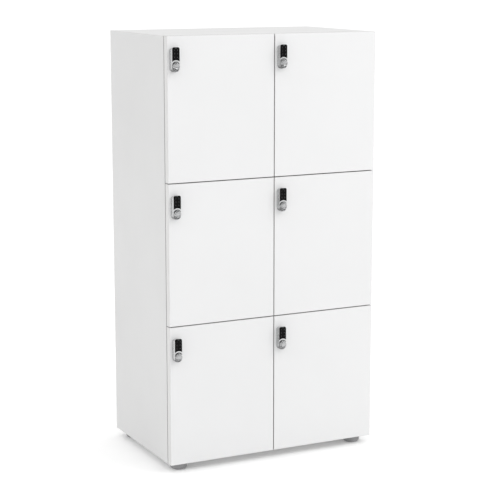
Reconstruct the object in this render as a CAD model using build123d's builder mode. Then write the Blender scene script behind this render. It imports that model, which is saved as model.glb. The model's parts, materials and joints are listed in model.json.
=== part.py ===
"""Six-compartment parcel locker: a laminated-board cabinet on levelling feet.

Frame: millimetres, +Z up, the doors face -Y and +X is to the right.
The origin is on the floor, in the middle of the footprint, knobs included.
"""
import os

from build123d import *

os.makedirs("parts", exist_ok=True)

# ---------------------------------------------------------------- driving sizes
WIDTH = 800.0
HEIGHT = 1506.0
CARCASS_DEPTH = 478.0
BOARD = 16.0
BACK_THICK = 6.0
BACK_LAP = 8.0
FOOT_HEIGHT = 28.0
COLUMNS = 2
ROWS = 3

DOOR_THICK = 25.0
DOOR_GAP = 5.0
REVEAL = 3.0
EDGE_ROUND = 1.0
OVERCUT = 1.0

# single-pivot cup hinge, measured from its pin
PIN_FROM_EDGE = 9.0
PIN_FROM_FACE = 7.0
PIN_RADIUS = 1.5
KNUCKLE_RADIUS = 2.8
RUNNING_CLEARANCE = 0.05
CUP_RADIUS = 17.5
CUP_WALL = 1.0
CUP_EDGE = 3.0
CUP_FLOOR = 4.3
FLANGE_THICK = 1.2
CUP_SCREW_SPREAD = 24.0
CUP_SCREW_DEPTH = 12.0
CUP_SCREW_HEAD = 1.2
CUP_MOUTH = 5.0
PIN_END_PLAY = 0.25
FLANGE_LIP = 2.0
FLANGE_LENGTH = 62.0
FLANGE_WIDTH = 16.0
ARM_THICK = 2.5
ARM_WIDTH = 10.0
ARM_REACH = 22.0
ARM_STRAIGHT = 34.0
ARM_TAIL = 42.0
ARM_PLATE = 3.0
ARM_PLATE_HALF = 8.0
ARM_PLATE_INSET = 2.0
ARM_SCREW_HEAD = 3.0
ARM_SCREWS_ALONG = (12.0, 32.0)
HEAD_PROUD = 1.0
HINGE_FROM_END = 90.0

# electronic lock
LOCK_WIDTH = 28.0
LOCK_HEIGHT = 84.0
LOCK_PROUD = 22.0
LOCK_WALL = 2.0
LOCK_TOP_ROUND = 7.0
LOCK_TOP_SLOPE = 12.0
LOCK_FRONT_ROUND = 1.2
LOCK_FROM_EDGE = 22.5
LOCK_FROM_TOP = 35.0
KNOB_RADIUS = 12.0
KNOB_PROUD = 10.0
KNOB_TAPER = 13.0
KNOB_SUNK = 0.6
KNOB_ROUND = 1.5
KNOB_RECESS = 1.0
KNOB_CLEARANCE = 0.5
KNOB_ABOVE_BASE = 19.5
SPINDLE_RADIUS = 4.0
SPINDLE_HOLE = 5.0
SPINDLE_TIP_RADIUS = 2.5
SPINDLE_TIP = 2.0
SPINDLE_BOSS = 7.0
KEYPAD_ARC = 21.0
KEYPAD_MARGIN = 0.9
KEYPAD_THICK = 2.2
KEYPAD_FIT = 0.1
KEY_SIZE = 8.6
KEY_PITCH = 11.4
KEYS_ABOVE_ARC = 21.0
KEY_RISE = 0.4
KEY_CORNER = 1.8
KEY_COLUMNS = 2
KEY_ROWS = 3
STATUS_LIGHT_LENGTH = 7.0
STATUS_LIGHT_WIDTH = 2.2
STATUS_LIGHT_GAP = 1.7
CAM_THICK = 3.0
CAM_HALF_WIDTH = 4.8
CAM_BITE = 7.5
CAM_BEHIND_FRONT = 8.0
CAM_PLAY = 0.8
CAM_TIP_ROUND = 1.5
LOCK_SCREW_RADIUS = 2.0
LOCK_SCREW_BOSS = 4.0
LOCK_SCREW_HEAD = 1.5
LOCK_SCREW_UP = [-9.0, 47.0]
HOLE_CLEARANCE = 0.5
SNUG_CLEARANCE = 0.2
BACK_PLATE = 1.5
BACK_PLATE_LENGTH = 74.0
BACK_PLATE_WIDTH = 17.0
CIRCUIT_HALF_WIDTH = 11.0
CIRCUIT_THICK = 1.6
CIRCUIT_BEHIND_KEYPAD = 3.0
CIRCUIT_HOLE = 4.5
CIRCUIT_UP = (10.0, 60.0)
BATTERY_RADIUS = 5.2
BATTERY_LENGTH = 20.0
BATTERY_BEHIND_CIRCUIT = 9.0
BATTERY_UP = 31.0

# loose hardware
DOWEL_RADIUS = 3.95
DOWEL_HOLE = 4.0
DOWEL_IN_FACE = 7.0
DOWEL_IN_EDGE = 20.0
DOWEL_END_PLAY = 1.0
DOWEL_INSET = 60.0
SCREW_RADIUS = 1.75
SCREW_HEAD = 3.5
SCREW_LENGTH = 20.0
SCREW_POINT = 3.0
SINK_CLEARANCE = 0.1
SIDE_SCREW_COUNT = 6
BUMPER_RADIUS = 3.0
BUMPER_THICK = DOOR_GAP - 0.2
BUMPER_FROM_EDGE = (2.0, 0.25)
BUMPER_FROM_BOTTOM = 60.0
BUMPER_FROM_TOP = 200.0
SOLID_GAP = 0.04
FOOT_RADIUS = 30.0
FOOT_INSET = 50.0
FOOT_TREAD = 20.0
FOOT_ROUND_HEIGHT = 11.0
FOOT_ROUND_MIDDLE = (27.4, 3.8)
FOOT_RIM_HEIGHT = 3.0
FOOT_RIM_RADIUS = 28.5
FOOT_HEAD_ROOM = 1.0
STEM_RADIUS = 5.0
STEM_ENGAGED = 13.0
SOCKET_RADIUS = 8.0
SOCKET_FLANGE = 12.0
SOCKET_FLANGE_THICK = 2.0

# ---------------------------------------------------------------- derived sizes
TOTAL_DEPTH = LOCK_PROUD + KNOB_PROUD + DOOR_THICK + DOOR_GAP + CARCASS_DEPTH
BACK_Y = TOTAL_DEPTH / 2
CARCASS_Y = BACK_Y - CARCASS_DEPTH
DOOR_BACK_Y = CARCASS_Y - DOOR_GAP
DOOR_Y = DOOR_BACK_Y - DOOR_THICK
LOCK_Y = DOOR_Y - LOCK_PROUD
INNER_BACK_Y = BACK_Y - BACK_THICK
CAM_Y = CARCASS_Y + CAM_BEHIND_FRONT
PIN_Y = DOOR_Y + PIN_FROM_FACE

CARCASS_HEIGHT = HEIGHT - FOOT_HEIGHT
DOOR_WIDTH = (WIDTH - REVEAL * (COLUMNS - 1)) / COLUMNS
DOOR_HEIGHT = (CARCASS_HEIGHT - REVEAL * (ROWS - 1)) / ROWS
DOOR_PITCH_X = DOOR_WIDTH + REVEAL
DOOR_PITCH_Z = DOOR_HEIGHT + REVEAL
HALF = WIDTH / 2
INNER_HALF = HALF - BOARD
FLOOR_TOP = FOOT_HEIGHT + BOARD
CEILING = HEIGHT - BOARD
CUP_CENTRE = PIN_FROM_EDGE - CUP_EDGE - CUP_RADIUS
SHELF_HEIGHTS = [FOOT_HEIGHT + DOOR_PITCH_Z * row - REVEAL / 2 for row in range(1, ROWS)]
DOWEL_YS = [CARCASS_Y + DOWEL_INSET, (CARCASS_Y + INNER_BACK_Y) / 2, INNER_BACK_Y - DOWEL_INSET]
COLUMN_NAMES = ["left", "right"]
ROW_NAMES = ["lower", "middle", "upper"]


def door_left(column):
    """X of a door's lock-side edge."""
    return -HALF + DOOR_PITCH_X * column


def door_bottom(row):
    """Z of a door's bottom edge."""
    return FOOT_HEIGHT + DOOR_PITCH_Z * row


def pin_x(column):
    """X of a door's hinge pins."""
    return door_left(column) + DOOR_WIDTH - PIN_FROM_EDGE


def hinge_heights(row):
    """Z of the two hinges of a door."""
    return [door_bottom(row) + HINGE_FROM_END, door_bottom(row) + DOOR_HEIGHT - HINGE_FROM_END]


def lock_base(row):
    """Z of the lowest point of a lock case."""
    return door_bottom(row) + DOOR_HEIGHT - LOCK_FROM_TOP - LOCK_HEIGHT


def knob_z(row):
    """Z of a lock's spindle."""
    return lock_base(row) + KNOB_ABOVE_BASE


def cam_reach(column):
    """Length of a cam, from its spindle to its tip."""
    board_face = [-HALF + BOARD, BOARD / 2][column]
    return door_left(column) + LOCK_FROM_EDGE - board_face + CAM_BITE


def facing_front(y, x=0.0, z=0.0):
    """A sketch plane at depth y that looks out of the front, X to the right and Z up."""
    return Plane(origin=(x, y, z), x_dir=(1, 0, 0), z_dir=(0, -1, 0))


def save(piece, name):
    """Label one finished piece and write it."""
    piece.part.label = name
    export_step(piece.part, f"parts/{name}.step")


def plain_box(x0, x1, y0, y1, z0, z1, mode=Mode.ADD):
    """A box between two corners."""
    with Locations(((x0 + x1) / 2, (y0 + y1) / 2, (z0 + z1) / 2)):
        Box(x1 - x0, y1 - y0, z1 - z0, mode=mode)


def rod_x(x0, x1, radius, places, mode=Mode.SUBTRACT):
    """Rods along X between x0 and x1, one at each (y, z)."""
    with Locations(*[((x0 + x1) / 2, y, z) for y, z in places]):
        Cylinder(radius, abs(x1 - x0), rotation=(0, 90, 0), mode=mode)


def rod_y(y0, y1, radius, places, mode=Mode.SUBTRACT):
    """Rods along Y between y0 and y1, one at each (x, z)."""
    with Locations(*[(x, (y0 + y1) / 2, z) for x, z in places]):
        Cylinder(radius, abs(y1 - y0), rotation=(90, 0, 0), mode=mode)


def rod_z(z0, z1, radius, places, mode=Mode.SUBTRACT):
    """Rods along Z between z0 and z1, one at each (x, y)."""
    with Locations(*[(x, y, (z0 + z1) / 2) for x, y in places]):
        Cylinder(radius, abs(z1 - z0), mode=mode)


# ---------------------------------------------------------------- shared hole patterns
FLAT_BOARD_HEIGHTS = [FOOT_HEIGHT + BOARD / 2, *SHELF_HEIGHTS, HEIGHT - BOARD / 2]
SIDE_DOWELS = [(y, z) for z in FLAT_BOARD_HEIGHTS for y in DOWEL_YS]
SHELF_DOWELS = [(y, z) for z in SHELF_HEIGHTS for y in DOWEL_YS]
FOOT_PLACES = [
    (side * (HALF - FOOT_INSET), y)
    for y in (DOOR_Y + FOOT_INSET, BACK_Y - FOOT_INSET)
    for side in (-1, 1)
]
BACK_HALF = INNER_HALF + BACK_LAP
BACK_BOTTOM = FLOOR_TOP - BACK_LAP
BACK_TOP = CEILING + BACK_LAP
BACK_SCREW_X = BACK_HALF - BACK_LAP / 2
SIDE_SCREW_PITCH = (BACK_TOP - BACK_BOTTOM) / SIDE_SCREW_COUNT
SIDE_SCREW_ZS = [BACK_BOTTOM + SIDE_SCREW_PITCH * (i + 0.5) for i in range(SIDE_SCREW_COUNT)]
EDGE_SCREW_ZS = (BACK_BOTTOM + BACK_LAP / 2, BACK_TOP - BACK_LAP / 2)
BACK_SCREWS = [(side * BACK_SCREW_X, z) for side in (-1, 1) for z in SIDE_SCREW_ZS]
BACK_SCREWS += [(x, z) for z in EDGE_SCREW_ZS for x in (-INNER_HALF / 2, 0, INNER_HALF / 2)]
BACK_SCREWS += [(0, z) for z in SIDE_SCREW_ZS[1:-1]]


def cut_back_rebate():
    """The step in the carcass boards that takes the back panel."""
    plain_box(-BACK_HALF, BACK_HALF, INNER_BACK_Y, BACK_Y + OVERCUT, BACK_BOTTOM, BACK_TOP, Mode.SUBTRACT)


def cut_back_screw_holes():
    """Pilot holes for the back panel's screws."""
    rod_y(INNER_BACK_Y - SCREW_LENGTH, BACK_Y + OVERCUT, SCREW_RADIUS, BACK_SCREWS)


def cut_cam_slots(board_face, column):
    """Mortises that the cams of one column swing up into, closed towards the front by a lip."""
    reach = cam_reach(column)
    sweep = (reach ** 2 + CAM_HALF_WIDTH ** 2) ** 0.5
    drop = (sweep ** 2 - (reach - CAM_BITE) ** 2) ** 0.5 + CAM_PLAY
    rise = CAM_HALF_WIDTH + CAM_PLAY
    depth = CAM_BITE + sweep - reach + CAM_PLAY
    for row in range(ROWS):
        z = knob_z(row)
        plain_box(board_face - depth, board_face, CAM_Y - CAM_PLAY, CAM_Y + CAM_THICK + CAM_PLAY,
                  z - drop, z + rise, Mode.SUBTRACT)


# ---------------------------------------------------------------- carcass boards
def side_panel(side, name):
    """One full-height side; the left one holds the cam slots of the left doors."""
    outer, inner = side * HALF, side * INNER_HALF
    with BuildPart() as panel:
        plain_box(min(outer, inner), max(outer, inner), CARCASS_Y, BACK_Y, FOOT_HEIGHT, HEIGHT)
        fillet(panel.edges().filter_by(Axis.Z).group_by(Axis.X)[0 if side < 0 else -1], EDGE_ROUND)
        cut_back_rebate()
        cut_back_screw_holes()
        rod_x(inner, inner + side * DOWEL_IN_FACE, DOWEL_HOLE, SIDE_DOWELS)
        if side < 0:
            cut_cam_slots(inner, 0)
    save(panel, name)


side_panel(-1, "left_side_panel")
side_panel(1, "right_side_panel")

with BuildPart() as centre_divider:
    plain_box(-BOARD / 2, BOARD / 2, CARCASS_Y, INNER_BACK_Y, FLOOR_TOP, CEILING)
    cut_back_screw_holes()
    cut_cam_slots(BOARD / 2, 1)
    for face in (-1, 1):
        rod_x(face * BOARD / 2, face * (BOARD / 2 - DOWEL_IN_FACE), DOWEL_HOLE, SHELF_DOWELS)
    for z in (FLOOR_TOP, CEILING):
        inward = DOWEL_IN_EDGE if z == FLOOR_TOP else -DOWEL_IN_EDGE
        rod_z(z, z + inward, DOWEL_HOLE, [(0, y) for y in DOWEL_YS])
save(centre_divider, "centre_divider")


def flat_board(z0, name, outward, sockets=False):
    """The top or the bottom board, between the two sides."""
    with BuildPart() as board:
        plain_box(-INNER_HALF, INNER_HALF, CARCASS_Y, BACK_Y, z0, z0 + BOARD)
        cut_back_rebate()
        cut_back_screw_holes()
        for end in (-1, 1):
            rod_x(end * INNER_HALF, end * (INNER_HALF - DOWEL_IN_EDGE), DOWEL_HOLE,
                  [(y, z0 + BOARD / 2) for y in DOWEL_YS])
        inner_face = z0 if outward > 0 else z0 + BOARD
        rod_z(inner_face, inner_face + outward * DOWEL_IN_FACE, DOWEL_HOLE, [(0, y) for y in DOWEL_YS])
        if sockets:
            rod_z(z0 - OVERCUT, z0 + BOARD - FOOT_HEAD_ROOM, SOCKET_RADIUS, FOOT_PLACES)
            rod_z(z0 - OVERCUT, z0 + SOCKET_FLANGE_THICK, SOCKET_FLANGE, FOOT_PLACES)
    save(board, name)


flat_board(FOOT_HEIGHT, "bottom_panel", -1, sockets=True)
flat_board(CEILING, "top_panel", 1)

for column, name in enumerate(["left_shelves", "right_shelves"]):
    shelf_ends = [(-INNER_HALF, -BOARD / 2), (BOARD / 2, INNER_HALF)][column]
    with BuildPart() as shelves:
        for z in SHELF_HEIGHTS:
            plain_box(*shelf_ends, CARCASS_Y, INNER_BACK_Y, z - BOARD / 2, z + BOARD / 2)
        rod_x(shelf_ends[0], shelf_ends[0] + DOWEL_IN_EDGE, DOWEL_HOLE, SHELF_DOWELS)
        rod_x(shelf_ends[1] - DOWEL_IN_EDGE, shelf_ends[1], DOWEL_HOLE, SHELF_DOWELS)
    save(shelves, name)

with BuildPart() as back_panel:
    plain_box(-BACK_HALF, BACK_HALF, INNER_BACK_Y, BACK_Y, BACK_BOTTOM, BACK_TOP)
    with Locations(*[Plane((x, BACK_Y, z), x_dir=(1, 0, 0), z_dir=(0, 1, 0)) for x, z in BACK_SCREWS]):
        CounterSinkHole(SCREW_RADIUS + SINK_CLEARANCE, SCREW_HEAD + SINK_CLEARANCE, BACK_THICK)
save(back_panel, "back_panel")

# ---------------------------------------------------------------- carcass hardware
with BuildPart() as back_panel_screws:
    for x, z in BACK_SCREWS:
        with BuildSketch(Plane((x, BACK_Y, z), x_dir=(1, 0, 0), z_dir=(0, 0, 1))):
            with BuildLine():
                Polyline((0, 0), (SCREW_HEAD, 0), (SCREW_RADIUS, -SCREW_HEAD + SCREW_RADIUS),
                         (SCREW_RADIUS, SCREW_POINT - SCREW_LENGTH), (0, -SCREW_LENGTH), close=True)
            make_face()
        revolve(axis=Axis((x, BACK_Y, z), (0, 1, 0)))
save(back_panel_screws, "back_panel_screws")

DOWEL_LONG = DOWEL_IN_EDGE - DOWEL_END_PLAY
DOWEL_SHORT = DOWEL_IN_FACE - DOWEL_END_PLAY
with BuildPart() as dowels:
    for side in (-1, 1):
        rod_x(side * (INNER_HALF - DOWEL_LONG), side * (INNER_HALF + DOWEL_SHORT),
              DOWEL_RADIUS, SIDE_DOWELS, Mode.ADD)
        rod_x(side * (BOARD / 2 + DOWEL_LONG), side * (BOARD / 2 - DOWEL_SHORT),
              DOWEL_RADIUS, SHELF_DOWELS, Mode.ADD)
    for face, inward in ((FLOOR_TOP, 1), (CEILING, -1)):
        rod_z(face - inward * DOWEL_SHORT, face + inward * DOWEL_LONG, DOWEL_RADIUS,
              [(0, y) for y in DOWEL_YS], Mode.ADD)
save(dowels, "dowels")

with BuildPart() as door_bumpers:
    for column in range(COLUMNS):
        x = [-INNER_HALF, BOARD / 2][column] - BUMPER_RADIUS - BUMPER_FROM_EDGE[column]
        for row in range(ROWS):
            heights = (door_bottom(row) + BUMPER_FROM_BOTTOM,
                       door_bottom(row) + DOOR_HEIGHT - BUMPER_FROM_TOP)
            rod_y(CARCASS_Y - BUMPER_THICK, CARCASS_Y, BUMPER_RADIUS, [(x, z) for z in heights], Mode.ADD)
save(door_bumpers, "door_bumpers")

with BuildPart() as foot_sockets:
    rod_z(FOOT_HEIGHT, FLOOR_TOP - FOOT_HEAD_ROOM, SOCKET_RADIUS, FOOT_PLACES, Mode.ADD)
    rod_z(FOOT_HEIGHT, FOOT_HEIGHT + SOCKET_FLANGE_THICK, SOCKET_FLANGE, FOOT_PLACES, Mode.ADD)
    rod_z(FOOT_HEIGHT - OVERCUT, FLOOR_TOP, STEM_RADIUS + RUNNING_CLEARANCE, FOOT_PLACES)
save(foot_sockets, "foot_sockets")

FOOT_TOP = FOOT_HEIGHT - FOOT_HEAD_ROOM
STEM_TOP = FOOT_HEIGHT + STEM_ENGAGED
FOOT_NAMES = ["foot_front_left", "foot_front_right", "foot_back_left", "foot_back_right"]
for (x, y), name in zip(FOOT_PLACES, FOOT_NAMES):
    with BuildPart() as foot:
        with BuildSketch(Plane((x, y, 0), x_dir=(1, 0, 0), z_dir=(0, -1, 0))):
            with BuildLine():
                Line((0, 0), (FOOT_TREAD, 0))
                ThreePointArc((FOOT_TREAD, 0), FOOT_ROUND_MIDDLE, (FOOT_RADIUS, FOOT_ROUND_HEIGHT))
                Polyline((FOOT_RADIUS, FOOT_ROUND_HEIGHT), (FOOT_RADIUS, FOOT_HEIGHT - FOOT_RIM_HEIGHT),
                         (FOOT_RIM_RADIUS, FOOT_TOP), (STEM_RADIUS, FOOT_TOP), (STEM_RADIUS, STEM_TOP),
                         (0, STEM_TOP), (0, 0))
            make_face()
        revolve(axis=Axis((x, y, 0), (0, 0, 1)))
    save(foot, name)

# ---------------------------------------------------------------- hinge arms, fixed to the carcass
with BuildPart() as hinge_arms:
    for column in range(COLUMNS):
        board_face = [-BOARD / 2, INNER_HALF][column] - pin_x(column)
        tail_x = board_face - ARM_PLATE - ARM_THICK / 2
        crank_y = ARM_STRAIGHT + (ARM_REACH + tail_x)
        tail_end = crank_y + ARM_TAIL
        for row in range(ROWS):
            for z in hinge_heights(row):
                pin = Plane((pin_x(column), PIN_Y, z - ARM_WIDTH / 2), x_dir=(1, 0, 0), z_dir=(0, 0, 1))
                with BuildSketch(pin):
                    with BuildLine() as path:
                        Polyline((0, 0), (-ARM_REACH, 0), (-ARM_REACH, ARM_STRAIGHT), (tail_x, crank_y),
                                 (tail_x, tail_end))
                        offset(path.line, ARM_THICK / 2, kind=Kind.INTERSECTION, mode=Mode.REPLACE)
                    make_face()
                    Circle(KNUCKLE_RADIUS)
                    Circle(PIN_RADIUS + RUNNING_CLEARANCE, mode=Mode.SUBTRACT)
                extrude(amount=ARM_WIDTH)
                plain_box(pin_x(column) + board_face - ARM_PLATE, pin_x(column) + board_face,
                          PIN_Y + crank_y + ARM_PLATE_INSET, PIN_Y + tail_end - ARM_PLATE_INSET,
                          z - ARM_PLATE_HALF, z + ARM_PLATE_HALF)
                head_face = pin_x(column) + tail_x - ARM_THICK / 2 - HEAD_PROUD
                rod_x(head_face, head_face + ARM_THICK, ARM_SCREW_HEAD,
                      [(PIN_Y + crank_y + along, z) for along in ARM_SCREWS_ALONG], Mode.ADD)
save(hinge_arms, "hinge_arms")


# ---------------------------------------------------------------- doors and their locks
def lock_outline(margin):
    """The lock's front outline in a sketch whose origin is the spindle: round foot, soft top corners."""
    half = LOCK_WIDTH / 2 - margin
    foot = LOCK_WIDTH / 2 - KNOB_ABOVE_BASE
    top = LOCK_HEIGHT - KNOB_ABOVE_BASE - margin
    corner = LOCK_TOP_ROUND - margin
    with BuildLine() as outline:
        Line((half, foot), (half, top - corner))
        RadiusArc((half, top - corner), (half - corner, top), -corner)
        Line((half - corner, top), (corner - half, top))
        RadiusArc((corner - half, top), (-half, top - corner), -corner)
        Line((-half, top - corner), (-half, foot))
        ThreePointArc((-half, foot), (0, foot - half), (half, foot))
    make_face(outline.edges())


def slope_top(x, z, margin):
    """Cut the top of a lock case so that it falls away towards the door."""
    top = z + LOCK_HEIGHT - KNOB_ABOVE_BASE - margin
    with Locations(Location((x, LOCK_Y, top), (-LOCK_TOP_SLOPE, 0, 0))):
        Box(2 * LOCK_WIDTH, 4 * LOCK_PROUD, LOCK_TOP_ROUND, align=(Align.CENTER, Align.CENTER, Align.MIN),
            mode=Mode.SUBTRACT)


def keypad_outline(margin):
    """The upper part of the lock's outline, cut off by an arc around the knob."""
    lock_outline(margin)
    Circle(KEYPAD_ARC + margin - KEYPAD_MARGIN, mode=Mode.SUBTRACT)
    with Locations((0, -LOCK_HEIGHT / 2)):
        Rectangle(2 * LOCK_WIDTH, LOCK_HEIGHT, mode=Mode.SUBTRACT)


KEY_CENTRE_UP = KEYPAD_ARC + KEYS_ABOVE_ARC


def door_panel(left, bottom, hinges, spindle, name):
    """A slab door with its cup bores and the holes behind the lock."""
    x, z = spindle
    with BuildPart() as panel:
        plain_box(left, left + DOOR_WIDTH, DOOR_Y, DOOR_BACK_Y, bottom, bottom + DOOR_HEIGHT)
        fillet(panel.faces().sort_by(Axis.Y)[0].edges(), EDGE_ROUND)
        cup_x = left + DOOR_WIDTH - PIN_FROM_EDGE + CUP_CENTRE
        rod_y(PIN_Y - CUP_FLOOR, DOOR_BACK_Y + OVERCUT, CUP_RADIUS, [(cup_x, h) for h in hinges])
        rod_y(DOOR_Y - OVERCUT, DOOR_BACK_Y + OVERCUT, SPINDLE_HOLE, [spindle])
        rod_y(DOOR_Y - OVERCUT, DOOR_BACK_Y + OVERCUT, LOCK_SCREW_RADIUS + HOLE_CLEARANCE,
              [(x, z + up) for up in LOCK_SCREW_UP])
        cup_screws = [(cup_x, h + side * CUP_SCREW_SPREAD) for h in hinges for side in (-1, 1)]
        rod_y(DOOR_BACK_Y - CUP_SCREW_DEPTH, DOOR_BACK_Y + OVERCUT, SCREW_RADIUS, cup_screws)
    save(panel, name)


def hinge_cups(cup_x, pin, hinges, name):
    """Two pressed cups with their pins and fixing screws, let into the back of a door."""
    with BuildPart() as cups:
        rod_y(PIN_Y - CUP_FLOOR, DOOR_BACK_Y, CUP_RADIUS, [(cup_x, z) for z in hinges], Mode.ADD)
        for z in hinges:
            with BuildSketch(facing_front(DOOR_BACK_Y + FLANGE_THICK, cup_x, z)):
                Circle(CUP_RADIUS + FLANGE_LIP)
                SlotOverall(FLANGE_LENGTH, FLANGE_WIDTH, rotation=90)
            extrude(amount=FLANGE_THICK)
        rod_y(PIN_Y - CUP_FLOOR + CUP_WALL, DOOR_BACK_Y + CUP_MOUTH, CUP_RADIUS - CUP_WALL,
              [(cup_x, z) for z in hinges])
        screw_places = [(cup_x, z + side * CUP_SCREW_SPREAD) for z in hinges for side in (-1, 1)]
        head_y = DOOR_BACK_Y + FLANGE_THICK + SOLID_GAP
        head_top = head_y + CUP_SCREW_HEAD
        rod_y(DOOR_BACK_Y - OVERCUT, head_top, SCREW_RADIUS, screw_places)
        rod_y(DOOR_BACK_Y - CUP_SCREW_DEPTH, head_top, SCREW_RADIUS - SOLID_GAP, screw_places, Mode.ADD)
        rod_y(head_y, head_top, SCREW_HEAD, screw_places, Mode.ADD)
        half_pin = ((CUP_RADIUS - CUP_WALL) ** 2 - CUP_CENTRE ** 2) ** 0.5 - PIN_END_PLAY
        for z in hinges:
            rod_z(z - half_pin, z + half_pin, PIN_RADIUS + SOLID_GAP / 2, [(pin, PIN_Y)])
            rod_z(z - half_pin, z + half_pin, PIN_RADIUS, [(pin, PIN_Y)], Mode.ADD)
    save(cups, name)


def lock_case(x, z, name):
    """The lock's hollow case, its plate behind the door and the two screws that clamp them."""
    with BuildPart() as case:
        with BuildSketch(facing_front(DOOR_Y, x, z)):
            lock_outline(0)
        extrude(amount=LOCK_PROUD)
        fillet(case.faces().sort_by(Axis.Y)[0].edges(), LOCK_FRONT_ROUND)
        slope_top(x, z, 0)
        with BuildPart(mode=Mode.SUBTRACT):
            with BuildSketch(facing_front(DOOR_Y, x, z)):
                lock_outline(LOCK_WALL)
            extrude(amount=LOCK_PROUD - LOCK_WALL - KEYPAD_THICK)
            slope_top(x, z, LOCK_WALL)
        with BuildSketch(facing_front(DOOR_Y, x, z)):
            Circle(SPINDLE_BOSS)
            with Locations(*[(0, up) for up in LOCK_SCREW_UP]):
                Circle(LOCK_SCREW_BOSS)
        extrude(amount=LOCK_PROUD - LOCK_WALL)
        with BuildSketch(facing_front(LOCK_Y, x, z)):
            keypad_outline(KEYPAD_MARGIN)
        extrude(amount=-KEYPAD_THICK, mode=Mode.SUBTRACT)
        with BuildSketch(facing_front(LOCK_Y, x, z)):
            Circle(KNOB_RADIUS + KNOB_CLEARANCE)
        extrude(amount=-KNOB_RECESS, mode=Mode.SUBTRACT)
        rod_y(LOCK_Y - OVERCUT, DOOR_Y + OVERCUT, SPINDLE_RADIUS + RUNNING_CLEARANCE, [(x, z)])
        screws = [(x, z + up) for up in LOCK_SCREW_UP]
        screw_tip = DOOR_Y - LOCK_PROUD / 2
        rod_y(screw_tip - OVERCUT, DOOR_Y + OVERCUT, LOCK_SCREW_RADIUS, screws)
        with BuildSketch(facing_front(DOOR_BACK_Y + BACK_PLATE, x, z + sum(LOCK_SCREW_UP) / 2)):
            SlotOverall(BACK_PLATE_LENGTH, BACK_PLATE_WIDTH, rotation=90)
        extrude(amount=BACK_PLATE)
        plate_y = DOOR_BACK_Y + BACK_PLATE
        rod_y(DOOR_BACK_Y, plate_y, SPINDLE_RADIUS + HOLE_CLEARANCE, [(x, z)])
        rod_y(DOOR_BACK_Y, plate_y, LOCK_SCREW_RADIUS + SNUG_CLEARANCE, screws)
        head_y = plate_y + SOLID_GAP
        rod_y(screw_tip, head_y, LOCK_SCREW_RADIUS - SOLID_GAP, screws, Mode.ADD)
        rod_y(head_y, head_y + LOCK_SCREW_HEAD, SCREW_HEAD, screws, Mode.ADD)
    save(case, name)


def lock_keypad(x, z, name):
    """The moulded keypad: one black plate with raised keys and a status light above them."""
    with BuildPart() as keypad:
        with BuildSketch(facing_front(LOCK_Y + KEYPAD_THICK, x, z)):
            keypad_outline(KEYPAD_MARGIN + KEYPAD_FIT)
        extrude(amount=KEYPAD_THICK)
        with BuildSketch(facing_front(LOCK_Y, x, z + KEY_CENTRE_UP)):
            with GridLocations(KEY_PITCH, KEY_PITCH, KEY_COLUMNS, KEY_ROWS):
                RectangleRounded(KEY_SIZE, KEY_SIZE, KEY_CORNER)
            with Locations((0, KEY_PITCH * KEY_ROWS / 2 + STATUS_LIGHT_GAP)):
                SlotOverall(STATUS_LIGHT_LENGTH, STATUS_LIGHT_WIDTH)
        extrude(amount=KEY_RISE)
    save(keypad, name)


def lock_electronics(x, z, name):
    """Circuit board behind the keypad and the battery that lies in the case beside it."""
    with BuildPart() as electronics:
        circuit_y = LOCK_Y + KEYPAD_THICK + CIRCUIT_BEHIND_KEYPAD
        plain_box(x - CIRCUIT_HALF_WIDTH, x + CIRCUIT_HALF_WIDTH, circuit_y, circuit_y + CIRCUIT_THICK,
                  z + CIRCUIT_UP[0], z + CIRCUIT_UP[1])
        rod_y(circuit_y - OVERCUT, circuit_y + CIRCUIT_THICK + OVERCUT, CIRCUIT_HOLE,
              [(x, z + LOCK_SCREW_UP[1])])
        with Locations((x, circuit_y + BATTERY_BEHIND_CIRCUIT, z + BATTERY_UP)):
            Cylinder(BATTERY_RADIUS, BATTERY_LENGTH)
    save(electronics, name)


def lock_knob(x, z, name):
    """The turning knob with its spindle."""
    seat_y = LOCK_Y + KNOB_SUNK
    with BuildPart() as knob:
        with BuildSketch(facing_front(seat_y, x, z)):
            Circle(KNOB_RADIUS)
        extrude(amount=KNOB_PROUD + KNOB_SUNK, taper=KNOB_TAPER)
        fillet(knob.edges().group_by(Axis.Y)[0], KNOB_ROUND)
        rod_y(seat_y, CAM_Y, SPINDLE_RADIUS, [(x, z)], Mode.ADD)
        rod_y(CAM_Y, CAM_Y + CAM_THICK + SPINDLE_TIP, SPINDLE_TIP_RADIUS, [(x, z)], Mode.ADD)
    save(knob, name)


def lock_cam(x, z, reach, name):
    """The cam, hanging down while the lock is open."""
    with BuildPart() as cam:
        with BuildSketch(facing_front(CAM_Y + CAM_THICK, x, z)):
            Circle(CAM_HALF_WIDTH)
            with Locations((0, -reach / 2)):
                Rectangle(2 * CAM_HALF_WIDTH, reach)
            Circle(SPINDLE_TIP_RADIUS + SOLID_GAP, mode=Mode.SUBTRACT)
        extrude(amount=CAM_THICK)
        fillet(cam.edges().filter_by(Axis.Y).group_by(Axis.Z)[0], CAM_TIP_ROUND)
    save(cam, name)


for column, column_name in enumerate(COLUMN_NAMES):
    for row, row_name in enumerate(ROW_NAMES):
        place = f"{row_name}_{column_name}"
        lock_x = door_left(column) + LOCK_FROM_EDGE
        lock_z = knob_z(row)
        door_panel(door_left(column), door_bottom(row), hinge_heights(row), (lock_x, lock_z),
                   f"door_{place}")
        hinge_cups(pin_x(column) + CUP_CENTRE, pin_x(column), hinge_heights(row), f"hinge_cups_{place}")
        lock_case(lock_x, lock_z, f"lock_case_{place}")
        lock_keypad(lock_x, lock_z, f"lock_keypad_{place}")
        lock_electronics(lock_x, lock_z, f"lock_electronics_{place}")
        lock_knob(lock_x, lock_z, f"lock_knob_{place}")
        lock_cam(lock_x, lock_z, cam_reach(column), f"lock_cam_{place}")
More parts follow.
